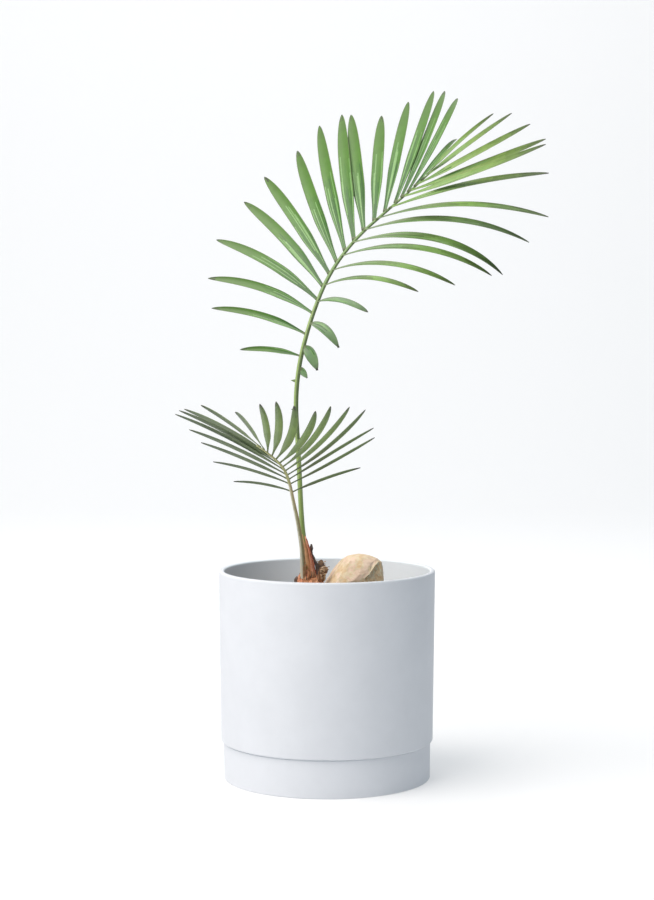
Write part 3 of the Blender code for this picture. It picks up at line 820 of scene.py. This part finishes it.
def crown_piece(materials):
    """The short trunk, flared at the soil, with its scales, its old stub and its flakes."""
    base = np.array([*CAUDEX_PLACE, SOIL_HEIGHT + GAP])
    crown = Gathered()
    turns = np.arange(CAUDEX_SIDES) * 2 * pi / CAUDEX_SIDES
    heights, radii = zip(*CAUDEX_OUTLINE)
    rings = []
    for share in np.linspace(0, 1, CAUDEX_SECTIONS):
        radius = CAUDEX_RADIUS * np.interp(share, heights, radii)
        height = share * CAUDEX_HEIGHT
        rings.append([
            base + np.array([radius * cos(turn), radius * sin(turn), height])
            for turn in turns
        ])
    crown.add_loft(rings, RUST)
    chance = np.random.default_rng(SEED)
    clasping_scales(crown, base, chance)
    for scale in CROWN_SCALES:
        crown_scale(crown, base, *scale, chance)
    withered_scale(crown, base)
    stub(crown, base, chance)
    made = crown.piece("crown", materials)
    roughen(made, 3.0 * MM, 0.5 * MM, stretch=(0.5, 0.5, 1.6))
    roughen(made, 1.0 * MM, 0.25 * MM, stretch=(0.6, 0.6, 3.0))
    return made


# Stalks and leaflets

STALK_BLEND = 6 * MM
STALK_THIRDS = (-0.1, 0.55)  # where a stalk's middle tone starts and ends across it
# A stalk's tones: the material numbers of its left, middle and right, seen from the front, each up to a
# place along it in mm. The lighter left tones of both stalks' lower parts are painted light on the side
# where the lamp falls, the tall stalk's right tone is lightened as painted light against its shade, and
# the rib's darker tone on its middle and right is painted shade.
(
    FOOT, TALL_LEFT_PAINTED_LIGHT, TALL_MIDDLE, TALL_RIGHT_PAINTED_LIGHT, RIB_PAINTED_SHADE_AND_PRICKLE, RIB_PALE,
    LOW_LEFT_PAINTED_LIGHT, LOW_MIDDLE, LOW_DARK, LOW_RIB,
) = range(10)
TALL_TONES = (
    (34, (FOOT, FOOT, FOOT)),
    (110, (TALL_LEFT_PAINTED_LIGHT, TALL_MIDDLE, TALL_RIGHT_PAINTED_LIGHT)),
    (240, (TALL_LEFT_PAINTED_LIGHT, RIB_PAINTED_SHADE_AND_PRICKLE, RIB_PAINTED_SHADE_AND_PRICKLE)),
    (404, (RIB_PALE, RIB_PALE, RIB_PAINTED_SHADE_AND_PRICKLE)),
)
LOW_TONES = (
    (18, (LOW_LEFT_PAINTED_LIGHT, FOOT, FOOT)),
    (100, (LOW_LEFT_PAINTED_LIGHT, LOW_MIDDLE, LOW_DARK)),
    (158, (LOW_RIB, LOW_RIB, LOW_RIB)),
)


def stalk(stem, tones):
    """A stem from its foot to its tip, finely ridged, flatter above than below."""
    frames = stem_frames(stem)
    length = stem.length * MM
    places = np.arange(GAP - SOCKET_DEPTH, length, RIB_STEP)
    turns = np.arange(RIB_SIDES) * 2 * pi / RIB_SIDES
    ridge = 1 + RIB_RIDGE * np.cos(np.arange(RIB_SIDES) * pi)
    known = np.arange(len(frames[0])) * STEP
    chance = np.random.default_rng(SEED)
    shifts = chance.uniform(-STALK_BLEND, STALK_BLEND, RIB_SIDES)
    ends = [end * MM for end, _ in tones]
    rings = []
    slots = []
    for place in places:
        inside = np.clip(place, 0, known[-1])
        point, along, side, up = (
            np.array([np.interp(inside, known, line[:, axis]) for axis in range(3)])
            for line in frames
        )
        point = point + along * (place - inside)
        half = between(stem.width, place / MM) * MM / 2
        ways = [
            side * cos(turn) + up * sin(turn) * (RIB_FLATNESS if sin(turn) > 0 else 1)
            for turn in turns
        ]
        rings.append([point + half * swell * way for way, swell in zip(ways, ridge)])
        stretch = np.clip(np.searchsorted(ends, place + shifts), 0, len(tones) - 1)
        thirds = np.searchsorted(STALK_THIRDS, [way[0] for way in ways])
        slots.append([tones[part][1][third] for part, third in zip(stretch, thirds)])
    made = Gathered()
    made.add_loft(rings, slots[:-1])
    return made


# Prickles: the place along the stem in mm, the turn about it from its right side in degrees,
# the length and the width in mm
Prickle = namedtuple("Prickle", "place turn length width")
TALL_PRICKLES = (
    Prickle(168.2, 180, 7.0, 2.2),
    Prickle(144.7, 180, 4.6, 2.2),
    Prickle(118, 20, 2.0, 1.8),
)
LOW_PRICKLES = (Prickle(28.5, 180, 1.1, 3.7),)
PRICKLE_SECTIONS = 8
PRICKLE_SIDES = 10


def prickle(made, stem, thorn, slot):
    """A small sharp thorn on a stalk."""
    frames = stem_frames(stem)
    low = int(thorn.place * MM / STEP)
    point, along, side, up = (line[low] for line in frames)
    way = unit(side * cos(radians(thorn.turn)) + up * sin(radians(thorn.turn)) + along * 0.1)
    half = between(stem.width, thorn.place) * MM / 2
    rings = []
    for share in np.linspace(0, 1, PRICKLE_SECTIONS):
        middle = point + way * (half * 0.7 + thorn.length * MM * share)
        size = thorn.width * MM / 2 * (1 - share) + 0.12 * MM
        rings.append([
            middle + size * (along * cos(a) * 1.4 + np.cross(way, along) * sin(a))
            for a in np.arange(PRICKLE_SIDES) * 2 * pi / PRICKLE_SIDES
        ])
    made.add_loft(rings, slot)


# The tones of the leaflets. First come those that every row has, then LEAF_STEPS for each
# kind of leaflet, which run from its foot to its tip.
COLLAR, STREAK, VEIN, MARGIN, TIP, KINDS_FROM = range(6)
LEAF_STEPS = 6
LEAF_GRAIN = 9 * MM
LEAF_DRIFT = 0.03
# The kinds of leaflets: a kind holds up to a leaflet's number
TALL_LEFT_KIND, SHORT_KIND, TALL_RIGHT_KIND, TOP_AND_PAINTED_LIGHT_KIND, LOW_LEFT_KIND, LOW_PAINTED_SHADE_KIND, LOW_RIGHT_KIND = range(7)
TALL_LEFT_KINDS = ((16, TALL_LEFT_KIND),)
# The top kind's lighter tones start at leaflet 11; on leaflet 11 they are painted light, since it lies in
# shade
TALL_RIGHT_KINDS = ((4, SHORT_KIND), (10, TALL_RIGHT_KIND), (16, TOP_AND_PAINTED_LIGHT_KIND))
LOW_LEFT_KINDS = ((9, LOW_LEFT_KIND),)
# Low right leaflets 1 to 4 take a darker copy of the low right tones: painted shade
LOW_RIGHT_KINDS = ((4, LOW_PAINTED_SHADE_KIND), (10, LOW_RIGHT_KIND))
LEAF_TONES = (
    ((0.0, (48, 88, 28)), (0.2, (50, 98, 20)), (0.5, (78, 121, 34)), (1.0, (80, 111, 44))),
    ((0.1, (106, 122, 92)), (0.4, (102, 134, 90)), (0.8, (116, 144, 98)), (1.0, (98, 118, 86))),
    ((0.1, (120, 136, 98)), (0.35, (92, 116, 60)), (0.6, (122, 159, 78)), (1.0, (66, 84, 30))),
    ((0.1, (122, 154, 76)), (0.3, (148, 171, 108)), (0.65, (116, 145, 66)), (1.0, (66, 84, 36))),
    ((0.0, (84, 96, 66)), (0.25, (110, 124, 92)), (0.6, (112, 125, 97)), (1.0, (88, 102, 78))),
    # The darker copy of the low right tones: painted shade
    ((0.0, (72, 82, 52)), (0.25, (96, 108, 76)), (0.6, (98, 118, 72)), (1.0, (86, 104, 64))),
    ((0.0, (92, 106, 66)), (0.25, (122, 142, 94)), (0.6, (121, 145, 84)), (1.0, (88, 110, 64))),
)
# How much narrower than the rule each kind of leaflet is at its foot, and up to which share
# of its length
SLENDERNESS = (
    (0.0, 1.0),
    (0.6, 0.15),
    (0.4, 0.3),
    (0.1, 0.3),
    (0.35, 0.2),
    (0.35, 0.2),
    (0.35, 0.2),
)
TONE_SHIFT = 0.06
TIP_LENGTH = 3.6 * MM
TIP_SHARE = 0.05  # the most of a leaflet's length that its dark tip takes
# Pale and dark lines along a leaflet: how many there are, and from where to where they run
STREAKS = 4
STREAKED = (0.05, 0.5)
VEINS = 3
VEINED = (0.02, 0.4)
LINE_SHIFT = 0.15


def leaflet_slots(length, kind, chance):
    """The material numbers of a leaflet's strips, section by section and round the blade."""
    around = 2 * LEAFLET_STRIPS
    share = (np.arange(LEAFLET_SECTIONS - 1)[:, None] + 0.5) / (LEAFLET_SECTIONS - 1)
    shifted = share + chance.uniform(-TONE_SHIFT, TONE_SHIFT, around)
    steps = np.clip((shifted * LEAF_STEPS).astype(int), 0, LEAF_STEPS - 1)
    slots = KINDS_FROM + kind * LEAF_STEPS + steps
    strips = np.arange(around)
    lines = share + chance.uniform(-LINE_SHIFT, LINE_SHIFT, around)
    for count, (start, end), slot in ((VEINS, VEINED, VEIN), (STREAKS, STREAKED, STREAK)):
        picked = np.isin(strips, chance.integers(2, LEAFLET_STRIPS - 2, count))
        slots[picked & (start < lines) & (lines < end)] = slot
    slots[:, np.isin(strips % LEAFLET_STRIPS, (0, LEAFLET_STRIPS - 1))] = MARGIN
    slots[(1 - shifted) * length < min(TIP_LENGTH, TIP_SHARE * length)] = TIP
    slots[share[:, 0] * length < COLLAR_LENGTH] = COLLAR
    return slots


def leaflet(made, frames, row, number, kind, chance):
    """A thin channelled blade with fine parallel veins and a swollen foot."""
    points, _, across, up = leaflet_course(frames, row, number)
    length = row.lengths[number - 1] * MM
    share = np.linspace(0, 1, LEAFLET_SECTIONS)
    full = between(row.width, number) * MM / 2
    slimmer, reach = SLENDERNESS[kind]
    outline = blade_outline(share, length) * (1 - slimmer * np.exp(-((share / reach) ** 2)))
    foot = np.exp(-((share * length / COLLAR_LENGTH) ** 2))
    settled = np.exp(-share * length / (4 * COLLAR_LENGTH))
    points = points + up * (ATTACHED_ABOVE * settled)[:, None]
    thick = LEAFLET_THICKNESS + (COLLAR_THICKNESS - LEAFLET_THICKNESS) * foot
    spread = np.linspace(-1, 1, LEAFLET_STRIPS + 1)
    spread = (spread + np.sin(spread * pi / 2)) / 2
    veins = VEIN_HEIGHT * (np.arange(LEAFLET_STRIPS + 1) % 2)
    channel = -LEAFLET_CHANNEL * (1 - spread**2)
    top = (channel + veins) * outline[:, None]
    bottom = top[:, 1:-1] - thick[:, None] * np.sqrt(1 - spread[1:-1] ** 2)
    heights = np.hstack([top, bottom[:, ::-1]])
    sides = np.hstack([spread, spread[-2:0:-1]])[None, :] * (outline * full)[:, None]
    rings = (
        points[:, None]
        + across[:, None] * sides[..., None]
        + up[:, None] * heights[..., None]
    )
    made.add_loft(rings, leaflet_slots(length, kind, chance))


def leaflets(name, stem, rows, materials):
    """Every leaflet of a frond, as one piece."""
    frames = stem_frames(stem)
    made = Gathered()
    chance = np.random.default_rng(SEED)
    for row, kinds in rows:
        for number in range(1, len(row.angles) + 1):
            kind = next(kind for last, kind in kinds if number <= last)
            leaflet(made, frames, row, number, kind, chance)
    return made.piece(name, materials)


# Studio


def aimed(place, target):
    """The turn that points a lamp at a place from its own."""
    return (Vector(target) - Vector(place)).to_track_quat("-Z", "Y").to_euler()


def softbox(name, place, target, size, power, colour):
    """A square lamp with soft edges to its shadows."""
    lamp = bpy.data.lights.new(name, "AREA")
    lamp.shape = "SQUARE"
    lamp.size = size
    lamp.energy = power
    lamp.color = colour
    made = bpy.data.objects.new(name, lamp)
    made.location = place
    made.rotation_euler = aimed(place, target)
    bpy.context.scene.collection.objects.link(made)
    return made


FLOOR_REACH = 3.0
FLOOR_BACK = 2.2
SWEEP_RADIUS = 1.0
BACKDROP_HEIGHT = 4.0
SWEEP_STEPS = 24
WALL_RADIUS = 3.4
WALL_HEIGHTS = (-1.0, 4.0)
WALL_SIDES = 96
FLOOR_COLOUR = (200, 200, 200)
FLOOR_GLOW = 0.36


def floor(material):
    """A pale floor that sweeps up behind into a plain backdrop."""
    line = [(-FLOOR_REACH, 0.0), (FLOOR_BACK, 0.0)]
    for step in range(1, SWEEP_STEPS + 1):
        turn = pi / 2 * step / SWEEP_STEPS
        line.append((FLOOR_BACK + SWEEP_RADIUS * sin(turn), SWEEP_RADIUS * (1 - cos(turn))))
    line.append((FLOOR_BACK + SWEEP_RADIUS, BACKDROP_HEIGHT))
    points = [(side * FLOOR_REACH, y, z) for y, z in line for side in (-1, 1)]
    faces = [(2 * i, 2 * i + 1, 2 * i + 3, 2 * i + 2) for i in range(len(line) - 1)]
    mesh = bpy.data.meshes.new("floor")
    mesh.from_pydata(points, [], faces)
    mesh.materials.append(material)
    mesh.shade_smooth()
    made = object_from("floor", mesh)
    made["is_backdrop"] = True
    return made


def far_wall(material):
    """A pale wall round the floor, which ends every view of the object but lights nothing."""
    turns = np.arange(WALL_SIDES) * 2 * pi / WALL_SIDES
    points = [
        (WALL_RADIUS * cos(turn), WALL_RADIUS * sin(turn), height)
        for height in WALL_HEIGHTS
        for turn in turns
    ]
    faces = [
        (i, (i + 1) % WALL_SIDES, (i + 1) % WALL_SIDES + WALL_SIDES, i + WALL_SIDES)
        for i in range(WALL_SIDES)
    ]
    mesh = bpy.data.meshes.new("far_wall")
    mesh.from_pydata(points, [], faces)
    mesh.materials.append(material)
    mesh.shade_smooth()
    made = object_from("far_wall", mesh)
    made.visible_diffuse = False
    made.visible_glossy = False
    made.visible_transmission = False
    made.visible_shadow = False
    made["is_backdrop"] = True


def camera():
    """The camera at the photo's viewing angle."""
    lens = bpy.data.cameras.new("camera")
    lens.lens = CAMERA_LENS
    lens.sensor_width = CAMERA_SENSOR
    made = bpy.data.objects.new("camera", lens)
    made.location = CAMERA_PLACE
    made.rotation_euler = (radians(90 + CAMERA_PITCH), 0, 0)
    bpy.context.scene.collection.objects.link(made)
    bpy.context.scene.camera = made


def studio():
    """The floor, which glows as a lit table does, the lamps and the pale air round them."""
    white = surface("floor_white", FLOOR_COLOUR, FLOOR_COLOUR, 0.5, 0.9)
    shader = white.node_tree.nodes["Principled BSDF"]
    shader.inputs["Emission Color"].default_value = (1, 1, 1, 1)
    shader.inputs["Emission Strength"].default_value = FLOOR_GLOW
    floor(white)
    far_wall(white)
    softbox("key", (-1.38, -1.04, 2.5), (0, 0, 0.1), 2.8, 118, (1.0, 0.95, 0.91))
    softbox("back", (0, 0.8, 2.4), (0, 2.6, 0.8), 2.0, 33, (1.0, 0.985, 0.97))
    air = bpy.data.worlds.new("air")
    air.use_nodes = True
    air.node_tree.nodes["Background"].inputs["Color"].default_value = (0.62, 0.92, 1.2, 1)
    air.node_tree.nodes["Background"].inputs["Strength"].default_value = 0.20
    bpy.context.scene.world = air
    bpy.context.scene.view_settings.view_transform = "Standard"


def painted_light_inside(ceramic):
    """Gives the pot's inner wall a whiter tone as painted light, which fades out over half of its lip."""
    nodes = ceramic.node_tree.nodes
    links = ceramic.node_tree.links
    base = nodes["Principled BSDF"].inputs["Base Color"]
    place = nodes.new("ShaderNodeTexCoord")
    level = nodes.new("ShaderNodeVectorMath")
    level.operation = "MULTIPLY"
    level.inputs[1].default_value = (1, 1, 0)
    links.new(place.outputs["Object"], level.inputs[0])
    radius = nodes.new("ShaderNodeVectorMath")
    radius.operation = "LENGTH"
    links.new(level.outputs["Vector"], radius.inputs[0])
    inside = nodes.new("ShaderNodeMapRange")
    inside.inputs["From Min"].default_value = RIM_RADIUS - POT_WALL / 2
    inside.inputs["From Max"].default_value = RIM_RADIUS - POT_WALL
    links.new(radius.outputs["Value"], inside.inputs["Value"])
    mix = nodes.new("ShaderNodeMix")
    mix.data_type = "RGBA"
    links.new(inside.outputs["Result"], mix.inputs["Factor"])
    links.new(base.links[0].from_socket, mix.inputs["A"])
    mix.inputs["B"].default_value = (*linear(*INSIDE_PAINTED_LIGHT), 1)
    links.new(mix.outputs["Result"], base)


# The whiter tone of the pot's inner wall: painted light
INSIDE_PAINTED_LIGHT = (245, 251, 255)


def dress_pot():
    """The pot and its saucer, of one pale grey ceramic, with painted light on the pot's inner wall."""
    tones = ((219, 221, 225), (223, 225, 229))
    ceramic_painted_inside = surface("ceramic_pot", *tones, 0.03, 0.6, 0.02 * MM, 1 * MM)
    # The pot's inner wall gets painted light, a whiter tone than its ceramic
    painted_light_inside(ceramic_painted_inside)
    ceramic = surface("ceramic_saucer", *tones, 0.03, 0.6, 0.02 * MM, 1 * MM)
    place_piece(pot(ceramic_painted_inside), "pot_ceramic", "pot")
    place_piece(saucer(ceramic), "saucer_ceramic", "saucer")


def dress_ground():
    """The potting mix and the pebble on it."""
    mixes = [
        surface("mix_dark", (58, 44, 34), (84, 64, 48), 0.004, 0.95, 0.3 * MM, 1 * MM),
        surface("mix_brown", (96, 70, 48), (132, 100, 72), 0.003, 0.9, 0.3 * MM, 1 * MM),
        surface("mix_bark", (120, 88, 60), (160, 124, 88), 0.003, 0.9, 0.3 * MM, 1 * MM),
    ]
    place_piece(soil(mixes), "soil", "soil")
    sands = [
        surface("pebble_ochre", (222, 188, 144), (236, 212, 174), 0.004, 0.85, 0.3 * MM, 1 * MM),
        surface("pebble_sand", (220, 195, 158), (240, 220, 188), 0.004, 0.85, 0.3 * MM, 1 * MM),
        surface("pebble_pink", (228, 194, 164), (244, 218, 194), 0.004, 0.85, 0.3 * MM, 1 * MM),
        # The cream tone is also the painted highlight on the crease's ridge
        surface("pebble_cream_and_highlight", (240, 222, 184), (250, 236, 206), 0.004, 0.85, 0.3 * MM, 1 * MM),
        # A warm streak tone, lighter as painted light against the flat's shade
        surface("pebble_streak_and_painted_light", (228, 190, 142), (244, 210, 164), 0.003, 0.85, 0.3 * MM, 1 * MM),
    ]
    place_piece(stone(sands), "pebble", "stone")


def dress_crown():
    """The short trunk with its scales and stub."""
    scales = [
        surface("crown_rust", (180, 112, 72), (226, 160, 116), 0.004, 0.85, 0.3 * MM, 1 * MM),
        surface("crown_salmon", (230, 148, 112), (250, 194, 156), 0.004, 0.75, 0.3 * MM, 1 * MM),
        surface("crown_red", (186, 80, 56), (218, 108, 78), 0.004, 0.75, 0.3 * MM, 1 * MM),
        surface("crown_olive", (146, 134, 74), (176, 164, 98), 0.004, 0.75, 0.3 * MM, 1 * MM),
        surface("crown_grey", (80, 68, 62), (128, 108, 96), 0.003, 0.85, 0.3 * MM, 1 * MM),
        surface("crown_brown", (104, 78, 58), (160, 124, 94), 0.003, 0.85, 0.4 * MM, 1 * MM),
        surface("crown_tan", (200, 166, 128), (228, 200, 166), 0.003, 0.85, 0.3 * MM, 1 * MM),
    ]
    place_piece(crown_piece(scales), "caudex", "caudex")


def dress_stalks():
    """Both stalks with their prickles."""
    # The stalks' left tones are lighter as painted light, the tall stalk's right tone is lightened as
    # painted light against its shade, and the rib's darker tone is painted shade and also the prickles'
    # own colour
    skins = [
        surface("stalk_foot", (190, 142, 98), (214, 168, 124), 0.004, 0.7, 0.1 * MM, 1 * MM),
        surface("tall_left_painted_light", (144, 166, 98), (156, 178, 110), 0.006, 0.5, 0.1 * MM, 1 * MM),
        surface("tall_middle", (128, 148, 74), (140, 160, 86), 0.006, 0.5, 0.1 * MM, 1 * MM),
        surface("tall_right_painted_light", (144, 166, 100), (156, 178, 112), 0.006, 0.5, 0.1 * MM, 1 * MM),
        surface("rib_painted_shade_and_prickle", (100, 118, 70), (114, 132, 84), 0.006, 0.5, 0.1 * MM, 1 * MM),
        surface("rib_pale", (118, 146, 88), (132, 160, 100), 0.006, 0.5, 0.1 * MM, 1 * MM),
        surface("low_left_painted_light", (226, 218, 192), (236, 230, 206), 0.006, 0.6, 0.1 * MM, 1 * MM),
        surface("low_middle", (180, 174, 130), (192, 188, 144), 0.006, 0.6, 0.1 * MM, 1 * MM),
        surface("low_dark", (176, 152, 106), (190, 166, 120), 0.006, 0.6, 0.1 * MM, 1 * MM),
        surface("low_rib", (176, 176, 122), (188, 188, 134), 0.006, 0.6, 0.1 * MM, 1 * MM),
    ]
    tall = stalk(TALL_STEM, TALL_TONES)
    for thorn in TALL_PRICKLES:
        prickle(tall, TALL_STEM, thorn, RIB_PAINTED_SHADE_AND_PRICKLE)
    place_piece(tall.piece("stalk_tall", skins), "petiole_tall", "petiole_tall")
    low = stalk(LOW_STEM, LOW_TONES)
    for thorn in LOW_PRICKLES:
        prickle(low, LOW_STEM, thorn, LOW_DARK)
    place_piece(low.piece("stalk_low", skins), "petiole_low", "petiole_low")


def dress_fronds():
    """The leaflets of both fronds."""
    greens = [
        surface("leaf_collar", (86, 98, 60), (104, 116, 74), 0.004, 0.5),
        surface("leaf_streak", (112, 152, 84), (124, 164, 96), 0.004, 0.4),
        surface("leaf_vein", (44, 84, 26), (56, 96, 34), 0.004, 0.4),
        surface("leaf_margin", (92, 108, 64), (112, 122, 78), 0.003, 0.5),
        surface("leaf_tip", (52, 50, 42), (68, 64, 54), 0.003, 0.6),
    ]
    # The top tones also paint light on a leaflet that lies in shade
    names = ("tall_left", "short", "tall_right", "top", "low_left", "shade", "low_right")
    # The shade tones are a darker copy of the low right ones: painted shade
    for name, stops in zip(names, LEAF_TONES):
        greens += tones_between(f"leaf_{name}", stops, LEAF_STEPS, LEAF_DRIFT, 0.45)
    tall_rows = ((TALL_LEFT, TALL_LEFT_KINDS), (TALL_RIGHT, TALL_RIGHT_KINDS))
    tall = leaflets("leaflets_tall", TALL_STEM, tall_rows, greens)
    place_piece(tall, "frond_tall", "frond_tall_lower", "frond_tall_upper")
    low_rows = ((LOW_LEFT, LOW_LEFT_KINDS), (LOW_RIGHT, LOW_RIGHT_KINDS))
    low = leaflets("leaflets_low", LOW_STEM, low_rows, greens)
    place_piece(low, "frond_low", "frond_low")


def main():
    """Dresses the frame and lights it."""
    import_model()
    solid_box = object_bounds()
    camera()
    studio()
    dress_pot()
    dress_ground()
    dress_crown()
    dress_stalks()
    dress_fronds()
    boxes = {"cad": solid_box, "visual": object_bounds()}
    boxes = {name: [list(map(float, corner)) for corner in box] for name, box in boxes.items()}


main()
